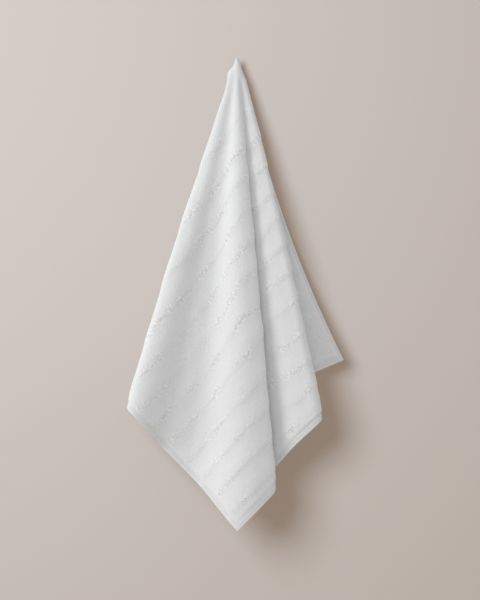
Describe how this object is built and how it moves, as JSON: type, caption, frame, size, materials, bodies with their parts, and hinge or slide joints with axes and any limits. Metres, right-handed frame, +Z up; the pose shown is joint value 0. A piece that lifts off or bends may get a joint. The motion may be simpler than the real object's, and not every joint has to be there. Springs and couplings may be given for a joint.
{
  "type": "bath towel",
  "caption": "Square terry towel with soft slanting pile bands and narrow hems, hung by one corner in fanned folds.",
  "frame": {"origin": "the hanging corner of the towel, where it is held up", "axes": "+Z up, the towel's length hangs down along -Z; -Y is the front that faces the room and +Y is towards the wall; +X is to the right seen from the front"},
  "size_m": [0.4618, 0.1865, 1.0009],
  "materials": {
    "terry": "white cotton terry, looped pile"
  },
  "bodies": {
    "root": {"towel": "terry"}
  },
  "joints": []
}
